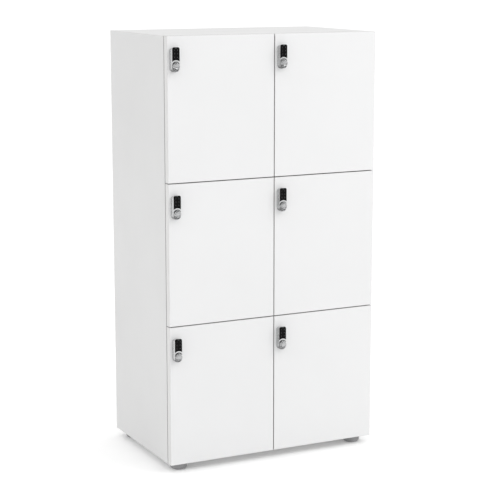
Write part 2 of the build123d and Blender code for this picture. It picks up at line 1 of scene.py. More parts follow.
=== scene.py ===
"""Looks for the six-compartment parcel locker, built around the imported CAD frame."""
import json
import math

import bpy
import bmesh
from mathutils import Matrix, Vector


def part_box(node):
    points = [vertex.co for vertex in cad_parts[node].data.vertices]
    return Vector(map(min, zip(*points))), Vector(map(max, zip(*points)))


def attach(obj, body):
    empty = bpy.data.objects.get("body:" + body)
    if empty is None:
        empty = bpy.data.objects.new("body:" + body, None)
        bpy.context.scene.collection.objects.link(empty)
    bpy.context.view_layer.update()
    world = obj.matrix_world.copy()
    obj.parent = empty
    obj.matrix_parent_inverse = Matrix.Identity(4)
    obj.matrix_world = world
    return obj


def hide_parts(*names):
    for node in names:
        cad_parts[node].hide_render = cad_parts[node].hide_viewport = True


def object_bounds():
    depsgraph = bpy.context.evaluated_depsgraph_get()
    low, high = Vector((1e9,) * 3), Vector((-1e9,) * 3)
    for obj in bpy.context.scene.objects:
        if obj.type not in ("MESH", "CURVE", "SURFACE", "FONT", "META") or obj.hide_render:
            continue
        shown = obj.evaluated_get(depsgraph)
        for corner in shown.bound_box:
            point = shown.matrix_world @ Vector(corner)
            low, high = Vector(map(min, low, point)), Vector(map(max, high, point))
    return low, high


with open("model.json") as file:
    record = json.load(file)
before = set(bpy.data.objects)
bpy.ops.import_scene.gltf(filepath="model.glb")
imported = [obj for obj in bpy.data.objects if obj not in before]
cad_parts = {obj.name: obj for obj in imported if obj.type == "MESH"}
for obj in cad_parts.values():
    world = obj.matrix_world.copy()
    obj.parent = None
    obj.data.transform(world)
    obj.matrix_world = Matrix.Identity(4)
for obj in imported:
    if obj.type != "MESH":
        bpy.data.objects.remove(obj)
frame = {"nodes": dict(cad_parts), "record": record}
cad_low, cad_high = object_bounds()
NODES = frame["nodes"]
MM = 0.001
PLACES = [f"{row}_{column}" for column in ("left", "right") for row in ("lower", "middle", "upper")]


# ------------------------------------------------------------------ node helpers
BEVEL_SAMPLES = 6
OCCLUSION_SAMPLES = 8
NOISE_ROUGHNESS = 0.55
MIX_A, MIX_B, MIX_RESULT = 6, 7, 2      # a Mix node's sockets for colours
EDGE_SHARP, EDGE_FLAT = 0.80, 0.995     # cosine between the rounded and the true normal
FACES_DOWN, FACES_ASIDE = -0.75, -0.05  # Z of the normal


def tinted(colour, factor):
    """A colour with each channel multiplied by factor."""
    return tuple(c * factor for c in colour)


class Shader:
    """One Principled material, with short calls for the nodes that its detail needs."""

    def __init__(self, name, roughness, metallic=0.0):
        self.material = bpy.data.materials.new(name)
        self.material.use_nodes = True
        self.tree = self.material.node_tree
        self.principled = self.tree.nodes["Principled BSDF"]
        self.principled.inputs["Roughness"].default_value = roughness
        self.principled.inputs["Metallic"].default_value = metallic
        self.place = self.node("ShaderNodeTexCoord").outputs["Object"]

    def node(self, kind, **values):
        made = self.tree.nodes.new(kind)
        for key, value in values.items():
            setattr(made, key, value)
        return made

    def link(self, source, target):
        self.tree.links.new(source, target)

    def feed(self, socket, value):
        """Sets a socket to a number or joins it to an output."""
        if isinstance(value, bpy.types.NodeSocket):
            self.link(value, socket)
        else:
            socket.default_value = value

    def stretched(self, scale):
        """The object's coordinates, scaled on each axis."""
        mapping = self.node("ShaderNodeMapping")
        mapping.inputs["Scale"].default_value = scale
        self.link(self.place, mapping.inputs["Vector"])
        return mapping.outputs["Vector"]

    def noise(self, scale, detail, where=None):
        made = self.node("ShaderNodeTexNoise")
        made.inputs["Scale"].default_value = scale
        made.inputs["Detail"].default_value = detail
        made.inputs["Roughness"].default_value = NOISE_ROUGHNESS
        self.link(where or self.place, made.inputs["Vector"])
        return made.outputs["Fac"]

    def cells(self, scale):
        made = self.node("ShaderNodeTexVoronoi")
        made.inputs["Scale"].default_value = scale
        self.link(self.place, made.inputs["Vector"])
        return made.outputs["Distance"]

    def spread(self, value, low, high, start=0.3, end=0.7):
        """Maps start to end onto low to high; the defaults hold most of a noise's values."""
        made = self.node("ShaderNodeMapRange")
        self.link(value, made.inputs["Value"])
        made.inputs["From Min"].default_value = start
        made.inputs["From Max"].default_value = end
        made.inputs["To Min"].default_value = low
        made.inputs["To Max"].default_value = high
        return made.outputs["Result"]

    def math(self, operation, a, b):
        made = self.node("ShaderNodeMath", operation=operation)
        self.feed(made.inputs[0], a)
        self.feed(made.inputs[1], b)
        return made.outputs[0]

    def mix(self, factor, a, b):
        """A blend from colour a at 0 to colour b at 1."""
        made = self.node("ShaderNodeMix", data_type="RGBA")
        self.feed(made.inputs["Factor"], factor)
        for socket, colour in ((MIX_A, a), (MIX_B, b)):
            self.feed(made.inputs[socket], (*colour, 1.0) if isinstance(colour, tuple) else colour)
        return made.outputs[MIX_RESULT]

    def edges(self, radius):
        """1 on sharp edges and 0 on flats."""
        bevel = self.node("ShaderNodeBevel", samples=BEVEL_SAMPLES)
        bevel.inputs["Radius"].default_value = radius
        geometry = self.node("ShaderNodeNewGeometry")
        dot = self.node("ShaderNodeVectorMath", operation="DOT_PRODUCT")
        self.link(bevel.outputs["Normal"], dot.inputs[0])
        self.link(geometry.outputs["Normal"], dot.inputs[1])
        return self.spread(dot.outputs["Value"], 1.0, 0.0, EDGE_SHARP, EDGE_FLAT)

    def underside(self):
        """1 on faces that look down and 0 on faces that look sideways or up."""
        split = self.node("ShaderNodeSeparateXYZ")
        self.link(self.node("ShaderNodeNewGeometry").outputs["Normal"], split.inputs[0])
        return self.spread(split.outputs["Z"], 1.0, 0.0, FACES_DOWN, FACES_ASIDE)

    def crevice(self, reach, shut, clear):
        """1 deep in gaps narrower than reach and 0 in the open; shut and clear are the shares of open sky."""
        made = self.node("ShaderNodeAmbientOcclusion", samples=OCCLUSION_SAMPLES)
        made.inputs["Distance"].default_value = reach
        return self.spread(made.outputs["AO"], 1.0, 0.0, shut, clear)

    def colour(self, output):
        self.link(output, self.principled.inputs["Base Color"])

    def roughness(self, output):
        self.link(output, self.principled.inputs["Roughness"])

    def bump(self, height, distance, strength, round_edges=0.0):
        """Fine relief, over edges that are rounded by round_edges metres."""
        made = self.node("ShaderNodeBump")
        made.inputs["Strength"].default_value = strength
        made.inputs["Distance"].default_value = distance
        self.link(height, made.inputs["Height"])
        if round_edges:
            bevel = self.node("ShaderNodeBevel", samples=BEVEL_SAMPLES)
            bevel.inputs["Radius"].default_value = round_edges
            self.link(bevel.outputs["Normal"], made.inputs["Normal"])
        self.link(made.outputs["Normal"], self.principled.inputs["Normal"])

    def seam(self, axis, start, pitch, length, width):
        """1 within width of the ends of a board that repeats along one axis."""
        split = self.node("ShaderNodeSeparateXYZ")
        self.link(self.place, split.inputs[0])
        along = self.math("FLOORED_MODULO", self.math("SUBTRACT", split.outputs[axis], start), pitch)
        near = self.math("LESS_THAN", along, width)
        far = self.math("GREATER_THAN", along, length - width)
        return self.math("MAXIMUM", near, far)


# ------------------------------------------------------------------ materials
GAP_SHADE = 0.55                    # painted shade: the share of the board's colour deep between two boards
LIP_SHADE = 0.22                    # painted shade: the share of the board's colour on a front edge behind a shut door
FAR = 10.0                          # a pitch longer than the cabinet, for a mark that never repeats
BAND_TINT = (0.965, 0.962, 0.95)    # of the board's colour, on its edges
SEAM_WIDTH = 1.2 * MM
LIP_WIDTH = 2.0 * MM
# painted highlight on the edges of satin metal
EDGE_HIGHLIGHT_SILVER = (0.88, 0.88, 0.87)
AXIS_X, AXIS_Y, AXIS_Z = 0, 1, 2


def laminate(name, colour, seams=(), lip=None):
    """White melamine facing: pearl grain, faint clouds, a slightly warmer band on the edges, and painted
    shade deep in the gaps between boards.

    seams lists the (axis, start, pitch, length) of boards that repeat; lip is the Y of their front edges,
    which get painted shade where a shut door covers them."""
    shader = Shader(name, 0.42)
    clouds = shader.noise(scale=2.2, detail=4.0)
    fine = shader.noise(scale=160.0, detail=3.0)
    toned = shader.mix(shader.spread(clouds, 0.0, 1.0), tinted(colour, 0.975), colour)
    speck = shader.spread(shader.noise(scale=900.0, detail=2.0), low=0.0, high=0.10, start=0.60, end=0.80)
    toned = shader.mix(speck, toned, tinted(colour, 0.90))
    band = tuple(c * k for c, k in zip(colour, BAND_TINT))
    edge = shader.math("MULTIPLY", shader.edges(radius=1.2 * MM), 0.55)
    toned = shader.mix(edge, toned, band)
    for axis, start, pitch, length in seams:
        mark = shader.seam(axis, start, pitch, length, SEAM_WIDTH)
        toned = shader.mix(shader.math("MULTIPLY", mark, 0.85), toned, tinted(band, 0.90))
    if lip is not None:
        front = shader.seam(AXIS_Y, lip, FAR, FAR, LIP_WIDTH)
        # painted shade on the front edges that a shut door covers
        painted_lip_shade = shader.crevice(reach=16 * MM, shut=0.05, clear=0.90)
        toned = shader.mix(shader.math("MULTIPLY", front, painted_lip_shade), toned, tinted(colour, LIP_SHADE))
    # painted shade deep in the gaps between boards
    gap = shader.crevice(reach=18 * MM, shut=0.02, clear=0.44)
    shader.colour(shader.mix(gap, toned, tinted(colour, GAP_SHADE)))
    shader.roughness(shader.spread(shader.noise(scale=7.0, detail=5.0), low=0.36, high=0.50))
    grain = shader.math("ADD", shader.cells(scale=520.0), shader.math("MULTIPLY", fine, 0.6))
    shader.bump(grain, distance=0.05 * MM, strength=0.55, round_edges=0.8 * MM)
    return shader.material


def hardboard():
    """The lacquered back panel: fibres under a thin white coat."""
    shader = Shader("white_hardboard", 0.55)
    fibres = shader.noise(scale=260.0, detail=5.0, where=shader.stretched((1.0, 1.0, 0.25)))
    clouds = shader.noise(scale=3.0, detail=4.0)
    base = shader.mix(shader.spread(clouds, 0.0, 1.0), (0.74, 0.74, 0.72), (0.79, 0.79, 0.775))
    shader.colour(shader.mix(shader.spread(fibres, low=0.0, high=0.18), base, (0.66, 0.65, 0.62)))
    shader.roughness(shader.spread(fibres, low=0.46, high=0.64))
    shader.bump(fibres, distance=0.08 * MM, strength=0.6)
    return shader.material


def satin_metal(name, colour, rough, shade):
    """Bead-blasted and plated die casting, with a painted highlight on its edges, and painted shade (shade
    times its colour) where it faces down and in crevices.
    """
    shader = Shader(name, rough, metallic=1.0)
    blast = shader.noise(scale=2400.0, detail=2.0)
    smear = shader.noise(scale=60.0, detail=4.0)
    toned = shader.mix(shader.spread(smear, 0.0, 1.0), tinted(colour, 0.93), colour)
    # painted highlight on the edges
    toned = shader.mix(shader.math("MULTIPLY", shader.edges(radius=0.7 * MM), 0.6), toned, EDGE_HIGHLIGHT_SILVER)
    # painted shade in crevices and on faces that look down
    painted_crevice_shade = shader.crevice(reach=5 * MM, shut=0.15, clear=0.62)
    deep = shader.math("MAXIMUM", shader.underside(), painted_crevice_shade)
    shader.colour(shader.mix(deep, toned, tinted(colour, shade)))
    shader.roughness(shader.spread(smear, low=rough - 0.05, high=rough + 0.07))
    shader.bump(blast, distance=0.03 * MM, strength=0.35, round_edges=0.5 * MM)
    return shader.material


def turned_metal(name, colour):
    """Nickel plate over drawn steel, with faint lines along its length."""
    shader = Shader(name, 0.28, metallic=1.0)
    lines = shader.noise(scale=900.0, detail=2.0, where=shader.stretched((1.0, 0.04, 1.0)))
    shader.colour(shader.mix(shader.spread(lines, 0.0, 1.0), tinted(colour, 0.86), colour))
    shader.roughness(shader.spread(lines, low=0.27, high=0.40))
    shader.bump(lines, distance=0.01 * MM, strength=0.15, round_edges=0.4 * MM)
    return shader.material


def moulded(name, colour, rough):
    """Moulded plastic with a fine spark texture and paler edges."""
    shader = Shader(name, rough)
    grain = shader.noise(scale=1500.0, detail=2.0)
    clouds = shader.noise(scale=40.0, detail=4.0)
    base = shader.mix(shader.spread(clouds, 0.0, 1.0), tinted(colour, 0.88), colour)
    paler_edge = tuple(min(1.0, c * 1.25 + 0.01) for c in colour)
    # paler towards the edges
    shader.colour(shader.mix(shader.math("MULTIPLY", shader.edges(radius=0.8 * MM), 0.5), base, paler_edge))
    shader.roughness(shader.spread(clouds, low=rough - 0.06, high=rough + 0.08))
    shader.bump(grain, distance=0.04 * MM, strength=0.5, round_edges=0.4 * MM)
    return shader.material


def keypad_finish():
    """Black moulded keypad: soft touch skin, a little dust, hardly any shine."""
    clean, dusty, paler_edge = (0.0016, 0.0016, 0.0018), (0.012, 0.012, 0.013), (0.035, 0.035, 0.036)
    shader = Shader("keypad_black", 0.5)
    shader.principled.inputs["Specular IOR Level"].default_value = 0.09
    dust = shader.spread(shader.noise(scale=700.0, detail=4.0), low=0.0, high=0.5, start=0.50, end=0.80)
    base = shader.mix(dust, clean, dusty)
    # paler towards the edges
    shader.colour(shader.mix(shader.math("MULTIPLY", shader.edges(radius=0.4 * MM), 0.4), base, paler_edge))
    shader.roughness(shader.spread(shader.noise(scale=90.0, detail=3.0), low=0.36, high=0.55))
    shader.bump(shader.noise(scale=2600.0, detail=2.0), distance=0.03 * MM, strength=0.4)
    return shader.material


def beech():
    """Dowel wood with grain along the rod."""
    shader = Shader("dowel_beech", 0.6)
    grain = shader.noise(scale=900.0, detail=4.0, where=shader.stretched((0.08, 1.0, 1.0)))
    shader.colour(shader.mix(shader.spread(grain, 0.0, 1.0), (0.50, 0.33, 0.17), (0.72, 0.54, 0.33)))
    shader.roughness(shader.spread(grain, low=0.5, high=0.72))
    shader.bump(grain, distance=0.08 * MM, strength=0.6)
    return shader.material


# painted shade: the cabinet's boards get a darker white than the doors, so that its side and top come out
# darker than the door fronts
SHADED_BOARD_WHITE = (0.690, 0.690, 0.688)
DOOR_WHITE = (0.774, 0.775, 0.777)
door_low, door_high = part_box("door_lower_left")
next_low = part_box("door_upper_right")[0]
middle_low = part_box("door_middle_left")[0]
door_seams = (
    (AXIS_X, door_low.x, next_low.x - door_low.x, door_high.x - door_low.x),
    (AXIS_Z, door_low.z, middle_low.z - door_low.z, door_high.z - door_low.z),
)
silver = satin_metal("satin_silver", (0.61, 0.615, 0.62), rough=0.25, shade=0.24)
knob_silver = satin_metal("knob_silver", (0.47, 0.475, 0.48), rough=0.20, shade=0.26)
keypad_black = keypad_finish()
mark_paint = moulded("key_mark_paint", (0.10, 0.10, 0.105), rough=0.60)
lens_smoke = moulded("status_lens", (0.09, 0.10, 0.10), rough=0.18)
back_white = hardboard()

FINISHES = {
    "cabinet_board": laminate("cabinet_laminate", SHADED_BOARD_WHITE, lip=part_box("left_side_panel")[0].y),
    "door_board": laminate("door_laminate", DOOR_WHITE, seams=door_seams),
    "lock_metal": silver,
    "keypad_black": keypad_black,
    "circuit_board": moulded("circuit_green", (0.03, 0.16, 0.07), rough=0.40),
    "hinge_steel": turned_metal("nickel_steel", (0.70, 0.70, 0.68)),
    "dowel_wood": beech(),
    "bumper": moulded("bumper_gel", (0.62, 0.62, 0.60), rough=0.22),
    "foot_plastic": moulded("foot_grey", (0.30, 0.30, 0.305), rough=0.46),
}
for entry in frame["record"]["subparts"]:
    mesh = NODES[entry["node"]].data
    finish = back_white if entry["node"] == "back_panel" else FINISHES[entry["material_slot"]]
    mesh.materials.clear()
    mesh.materials.append(finish)


# ------------------------------------------------------------------ shapes
ARC_STEPS = 14
TOP_STEPS = 6
SIDE_STEPS = 30
FACE_RINGS = 64
SLAB_STEPS = 4
SLAB_CORNER_STEPS = 8
ROUND_STEPS = 8
LATHE_STEPS = 96
SCREW_STEPS = 40
LOCK_TOP_ROUND = 7.0 * MM
LEAST_ROUND = 0.5 * MM
LEAST_SLAB_ROUND = 0.05 * MM
# a pan head with a small drive hole, as (part of its radius, part of its height)
PAN_HEAD = ((1.0, 0.0), (1.0, 0.45), (0.86, 0.85), (0.6, 1.0), (0.16, 1.0), (0.05, 0.35))


def arc(cx, cz, radius, start, stop, steps):
    """Points along an arc, degrees counter-clockwise from +X."""
    turns = [math.radians(start + (stop - start) * i / steps) for i in range(steps + 1)]
    return [(cx + radius * math.cos(t), cz + radius * math.sin(t)) for t in turns]


def line(a, b, steps):
    """Points from a towards b, without b."""
    return [(a[0] + (b[0] - a[0]) * i / steps, a[1] + (b[1] - a[1]) * i / steps) for i in range(steps)]


def quarter(radius, steps, first=1):
    """A rounded edge from a side to a face, as (way in from the side, way left to the face) pairs."""
    turns = [math.radians(90 * i / steps) for i in range(first, steps + 1)]
    return [(radius * (1 - math.cos(t)), radius * (1 - math.sin(t))) for t in turns]


def lock_ring(half, top, foot, inset):
    """The lock's outline about its spindle, moved inwards: soft top corners over a round foot."""
    side, head = half - inset, top - inset
    corner = max(LOCK_TOP_ROUND - inset, LEAST_ROUND)
    points = line((side, foot), (side, head - corner), SIDE_STEPS)
    points += arc(side - corner, head - corner, corner, 0, 90, ARC_STEPS)
    points += line((side - corner, head), (corner - side, head), TOP_STEPS)[1:]
    points += arc(corner - side, head - corner, corner, 90, 180, ARC_STEPS)
    points += line((-side, head - corner), (-side, foot), SIDE_STEPS)[1:]
    return points + arc(0, foot, side, 180, 360, 3 * ARC_STEPS)[:-1]


def skin(rings):
    """A closed skin over rings of equally many points."""
    count = len(rings[0])
    verts = [p for ring in rings for p in ring]
    faces = []
    for k in range(len(rings) - 1):
        for i in range(count):
            j = (i + 1) % count
            faces.append((k * count + i, k * count + j, (k + 1) * count + j, (k + 1) * count + i))
    faces.append(tuple(range(count)))
    faces.append(tuple((len(rings) - 1) * count + i for i in range(count)))
    return verts, faces


def merged(parts):
    """Several (verts, faces) lists as one."""
    verts, faces = [], []
    for part_verts, part_faces in parts:
        start = len(verts)
        verts += part_verts
        faces += [tuple(start + i for i in face) for face in part_faces]
    return verts, faces


def lathe(profile, x, z, steps=LATHE_STEPS):
    """A solid of revolution about a line along Y, from (radius, y) pairs."""
    rings = []
    for radius, y in profile:
        turns = [2 * math.pi * i / steps for i in range(steps)]
        rings.append([(x + radius * math.cos(t), y, z + radius * math.sin(t)) for t in turns])
    return skin(rings)


def pan_head(x, y, z, radius, height):
    """A screw head that faces +Y."""
    return lathe([(radius * out, y + height * up) for out, up in PAN_HEAD], x, z, SCREW_STEPS)


def rounded_slab(x, y_back, y_front, z, width, height, corner, bevel):
    """A rounded rectangle from y_back to y_front, with soft edges where it faces -Y.

    Where it faces +Y, the same rounding leaves a rim that stands bevel above its face."""
    def ring(inset, y):
        w, h, c = width / 2 - inset, height / 2 - inset, max(corner - inset, LEAST_SLAB_ROUND)
        points = []
        for sx, sz, start in ((1, 1, 0), (-1, 1, 90), (-1, -1, 180), (1, -1, 270)):
            points += arc(sx * (w - c), sz * (h - c), c, start, start + 90, SLAB_CORNER_STEPS)
        return [(x + px, y, z + pz) for px, pz in points]
    rings = [ring(0, y_back), ring(0, y_front + bevel)]
    return skin(rings + [ring(inset, y_front + left) for inset, left in quarter(bevel, SLAB_STEPS)])


def piece(name, verts, faces, finish, body, slot, sharp=35.0):
    """A new mesh that rides on a body; edges steeper than sharp degrees stay hard."""
    mesh = bpy.data.meshes.new(name)
    mesh.from_pydata([tuple(v) for v in verts], [], faces)
    mesh.validate()
    tidy = bmesh.new()
    tidy.from_mesh(mesh)
    bmesh.ops.remove_doubles(tidy, verts=tidy.verts, dist=1e-6)
    bmesh.ops.recalc_face_normals(tidy, faces=tidy.faces)
    tidy.to_mesh(mesh)
    tidy.free()
    mesh.polygons.foreach_set("use_smooth", [True] * len(mesh.polygons))
    mesh.set_sharp_from_angle(angle=math.radians(sharp))
    mesh.materials.append(finish)
    made = bpy.data.objects.new(name, mesh)
    bpy.context.collection.objects.link(made)
    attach(made, body)
    return made


# ------------------------------------------------------------------ locks
# case: a shadow line at the door, a parting groove half way up, drafted sides and a dish round the knob
SHADOW_IN, SHADOW_UP, SHADOW_END = 0.5 * MM, 0.7 * MM, 1.0 * MM
GROOVE_UP = 0.50                    # of the case's height off the door
GROOVE_DEPTH = 0.45 * MM
GROOVE_MOUTH, GROOVE_FLOOR = 0.35 * MM, 0.25 * MM    # half widths
CASE_DRAFT = 1.1 * MM
CASE_ROUND = 1.5 * MM
TOP_FALL = math.tan(math.radians(12.0))
DISH_DEPTH = 2.6 * MM
DISH_ROUND_KNOB = 1.2 * MM
DISH_BELOW_KEYPAD = 4.2 * MM

# the clamping plate behind the door
PLATE_WIDTH, PLATE_HEIGHT, PLATE_CORNER, PLATE_RIM = 17 * MM, 74 * MM, 8.4 * MM, 0.3 * MM
PLATE_UP = 19 * MM
PLATE_SCREWS_UP = (-9 * MM, 47 * MM)
PLATE_SCREW_RADIUS, PLATE_SCREW_HEAD = 3.5 * MM, 1.5 * MM

# keypad: its lower edge is an arc about the knob
KEYPAD_ARC = 21.0 * MM
KEYPAD_ARC_STEPS = 24
KEYPAD_CORNER_GAP = 0.5 * MM
KEYPAD_EDGE = 1.0 * MM
KEYPAD_ROUND = 0.5 * MM
KEYPAD_SUNK, KEYPAD_PROUD = 1.8 * MM, 0.25 * MM
KEYPAD_SHARP = 50.0

KEY_ROWS, KEY_COLUMNS = 3, 2
KEYS_ABOVE_ARC = 21.0 * MM
KEY_PITCH = 11.4 * MM
KEY_SIZE, KEY_CORNER, KEY_ROUND = 8.6 * MM, 1.8 * MM, 0.35 * MM
KEY_SUNK, KEY_PROUD = 0.3 * MM, 0.75 * MM
MARK_SIZE, MARK_DEPTH, MARK_PROUD = 6.2 * MM, 0.04 * MM, 0.02 * MM

LENS_WIDTH, LENS_HEIGHT, LENS_CORNER, LENS_ROUND = 6.4 * MM, 1.9 * MM, 0.9 * MM, 0.3 * MM
LENS_SUNK, LENS_PROUD = 0.2 * MM, 0.25 * MM
LENS_ABOVE_KEYS = 1.7 * MM

# knob: a spindle, a rounded flange and a tapered grip with rings, a dished face and a pointer
SPINDLE_TAIL, SPINDLE = 2.5 * MM, 4.0 * MM           # radii behind and before the cam
KNOB_SEAT = 0.6 * MM
# the flange, as (way in from the knob's radius, way behind its seat)
KNOB_FLANGE = ((0.7 * MM, 1.6 * MM), (0.1 * MM, 1.1 * MM), (0.0, 0.5 * MM), (0.0, 0.0))
KNOB_DRAFT = math.tan(math.radians(13.0))
KNOB_ROUND = 1.5 * MM
KNOB_SHARP = 40.0
GRIP_RINGS = 3
GRIP_START, GRIP_PITCH, GRIP_DEPTH = 1.2 * MM, 1.3 * MM, 0.28 * MM
GRIP_MOUTH, GRIP_FLOOR = 0.25 * MM, 0.1 * MM         # half widths
# the dish, as (part of the face's radius, depth), and its middle as (radius, depth)
FACE_DISH = ((0.74, 0.0), (0.70, 0.3 * MM), (0.35, 0.5 * MM))
FACE_MIDDLE = (0.05 * MM, 0.55 * MM)
POINTER_WIDTH, POINTER_CORNER, POINTER_ROUND = 1.1 * MM, 0.5 * MM, 0.15 * MM
POINTER_SUNK, POINTER_BELOW_RIM = 0.5 * MM, 0.02 * MM
POINTER_UP, POINTER_LENGTH = 0.42, 0.5               # of the face's radius


class LockPlan:
    """One lock's places in the frame, with heights measured from its spindle."""

    def __init__(self, place):
        low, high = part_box(f"lock_case_{place}")
        knob_low, knob_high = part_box(f"lock_knob_{place}")
        door_low_here, door_high_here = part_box(f"door_{place}")
        cam_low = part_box(f"lock_cam_{place}")[0]
        self.x = (knob_low.x + knob_high.x) / 2
        self.z = (knob_low.z + knob_high.z) / 2
        self.door_front, self.door_back = door_low_here.y, door_high_here.y
        self.front, self.back = low.y, high.y
        self.proud = self.door_front - self.front
        self.half = (high.x - low.x) / 2
        self.top = high.z - self.z
        self.foot = low.z + self.half - self.z
        self.knob_tip, self.spindle_end = knob_low.y, knob_high.y
        self.knob_radius = (knob_high.x - knob_low.x) / 2
        self.cam_front = cam_low.y
        self.pad_face = self.front - KEYPAD_PROUD
        self.key_face = self.front - KEY_PROUD
        self.keys_z = self.z + KEYPAD_ARC + KEYS_ABOVE_ARC
        across = [self.x + (i - (KEY_COLUMNS - 1) / 2) * KEY_PITCH for i in range(KEY_COLUMNS)]
        down = [self.keys_z + ((KEY_ROWS - 1) / 2 - i) * KEY_PITCH for i in range(KEY_ROWS)]
        self.key_centres = [(key_x, key_z) for key_z in down for key_x in across]


def case_skin(lock):
    """The case from the door to its face, with the dish round the knob pressed into it."""
    dish_in, dish_out = lock.knob_radius + DISH_ROUND_KNOB, KEYPAD_ARC - DISH_BELOW_KEYPAD

    def dished(px, pz, height):
        """Height off the door, cut down by the dish."""
        t = min(1.0, max(0.0, (dish_out - math.hypot(px, pz)) / (dish_out - dish_in)))
        return min(height, lock.proud - DISH_DEPTH * t * t * (3 - 2 * t))

    def ring(inset, height):
        flat = lock_ring(lock.half, lock.top - TOP_FALL * (lock.proud - height), lock.foot, inset)
        return [(lock.x + px, lock.door_front - dished(px, pz, height), lock.z + pz) for px, pz in flat]

    groove = lock.proud * GROOVE_UP
    rings = [ring(SHADOW_IN, 0.0), ring(SHADOW_IN, SHADOW_UP), ring(0.0, SHADOW_END),
             ring(0.0, groove - GROOVE_MOUTH), ring(GROOVE_DEPTH, groove - GROOVE_FLOOR),
             ring(GROOVE_DEPTH, groove + GROOVE_FLOOR), ring(0.0, groove + GROOVE_MOUTH),
             ring(CASE_DRAFT, lock.proud - CASE_ROUND)]
    rings += [ring(CASE_DRAFT + inset, lock.proud - left) for inset, left in quarter(CASE_ROUND, ROUND_STEPS)]
    rim = lock_ring(lock.half, lock.top, lock.foot, CASE_DRAFT + CASE_ROUND)
    for i in range(1, FACE_RINGS):
        flat = [(px * (1 - i / FACE_RINGS), pz * (1 - i / FACE_RINGS)) for px, pz in rim]
        rings.append([(lock.x + px, lock.door_front - dished(px, pz, lock.proud), lock.z + pz)
                      for px, pz in flat])
    return skin(rings)


def build_case(place, lock):
    """The case, and behind the door its clamping plate and two screws."""
    plate_face = lock.back - PLATE_SCREW_HEAD
    plate = rounded_slab(lock.x, lock.door_back, plate_face, lock.z + PLATE_UP,
                         PLATE_WIDTH, PLATE_HEIGHT, PLATE_CORNER, PLATE_RIM)
    heads = [pan_head(lock.x, plate_face, lock.z + up, PLATE_SCREW_RADIUS, PLATE_SCREW_HEAD)
             for up in PLATE_SCREWS_UP]
    skins = merged([case_skin(lock), plate, *heads])
    case = piece(f"lock_shell_{place}", *skins, silver, f"{place}_door_body", "lock_metal")
    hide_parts(f"lock_case_{place}")


def keypad_skin(lock):
    """The keypad's plate: the case's outline above an arc about the knob."""
    half = lock.half - KEYPAD_EDGE
    arc_z = math.sqrt(KEYPAD_ARC ** 2 - half ** 2)
    sweep = math.degrees(math.asin(half / KEYPAD_ARC))
    outline = lock_ring(lock.half, lock.top, lock.foot, KEYPAD_EDGE)
    contour = [p for p in outline if p[1] > arc_z + KEYPAD_CORNER_GAP]
    contour += arc(0, 0, KEYPAD_ARC, 90 + sweep, 90 - sweep, KEYPAD_ARC_STEPS)
    middle_z = (lock.top + KEYPAD_ARC) / 2

    def ring(inset, y):
        """The contour, drawn in towards its middle."""
        made = []
        for px, pz in contour:
            reach = math.hypot(px, pz - middle_z)
            k = (reach - inset) / reach
            made.append((lock.x + px * k, y, lock.z + middle_z + (pz - middle_z) * k))
        return made

    rings = [ring(0, lock.front + KEYPAD_SUNK), ring(0, lock.pad_face + KEYPAD_ROUND)]
    rings += [ring(inset, lock.pad_face + left) for inset, left in quarter(KEYPAD_ROUND, SLAB_STEPS)]
    return skin(rings)


def build_keypad(place, lock):
    """The keypad with its keys."""
    parts = [keypad_skin(lock)]
    for key_x, key_z in lock.key_centres:
        parts.append(rounded_slab(key_x, lock.pad_face + KEY_SUNK, lock.key_face, key_z,
                                  KEY_SIZE, KEY_SIZE, KEY_CORNER, KEY_ROUND))
    pad = piece(f"keypad_{place}", *merged(parts), keypad_black, f"{place}_door_body", "keypad_black",
                KEYPAD_SHARP)
    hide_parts(f"lock_keypad_{place}")


def build_marks(place, lock):
    """The digits on the keys."""
    marks = []
    for number, (key_x, key_z) in enumerate(lock.key_centres, 1):
        curve = bpy.data.curves.new("mark", "FONT")
        curve.body = str(number)
        curve.size = MARK_SIZE
        curve.align_x, curve.align_y = "CENTER", "CENTER"
        curve.extrude = MARK_DEPTH
        holder = bpy.data.objects.new("mark", curve)
        bpy.context.collection.objects.link(holder)
        bpy.context.view_layer.update()
        flat = bpy.data.meshes.new_from_object(holder)
        verts = [(key_x + v.co.x, lock.key_face - MARK_PROUD - v.co.z, key_z + v.co.y) for v in flat.vertices]
        marks.append((verts, [tuple(p.vertices) for p in flat.polygons]))
        bpy.data.objects.remove(holder)
    piece(f"key_marks_{place}", *merged(marks), mark_paint, f"{place}_door_body", "keypad_black")


def build_light(place, lock):
    """The status light above the keys."""
    light_z = lock.keys_z + KEY_PITCH * KEY_ROWS / 2 + LENS_ABOVE_KEYS
    lens = rounded_slab(lock.x, lock.pad_face + LENS_SUNK, lock.pad_face - LENS_PROUD, light_z,
                        LENS_WIDTH, LENS_HEIGHT, LENS_CORNER, LENS_ROUND)
    piece(f"status_light_{place}", *lens, lens_smoke, f"{place}_door_body", "keypad_black")


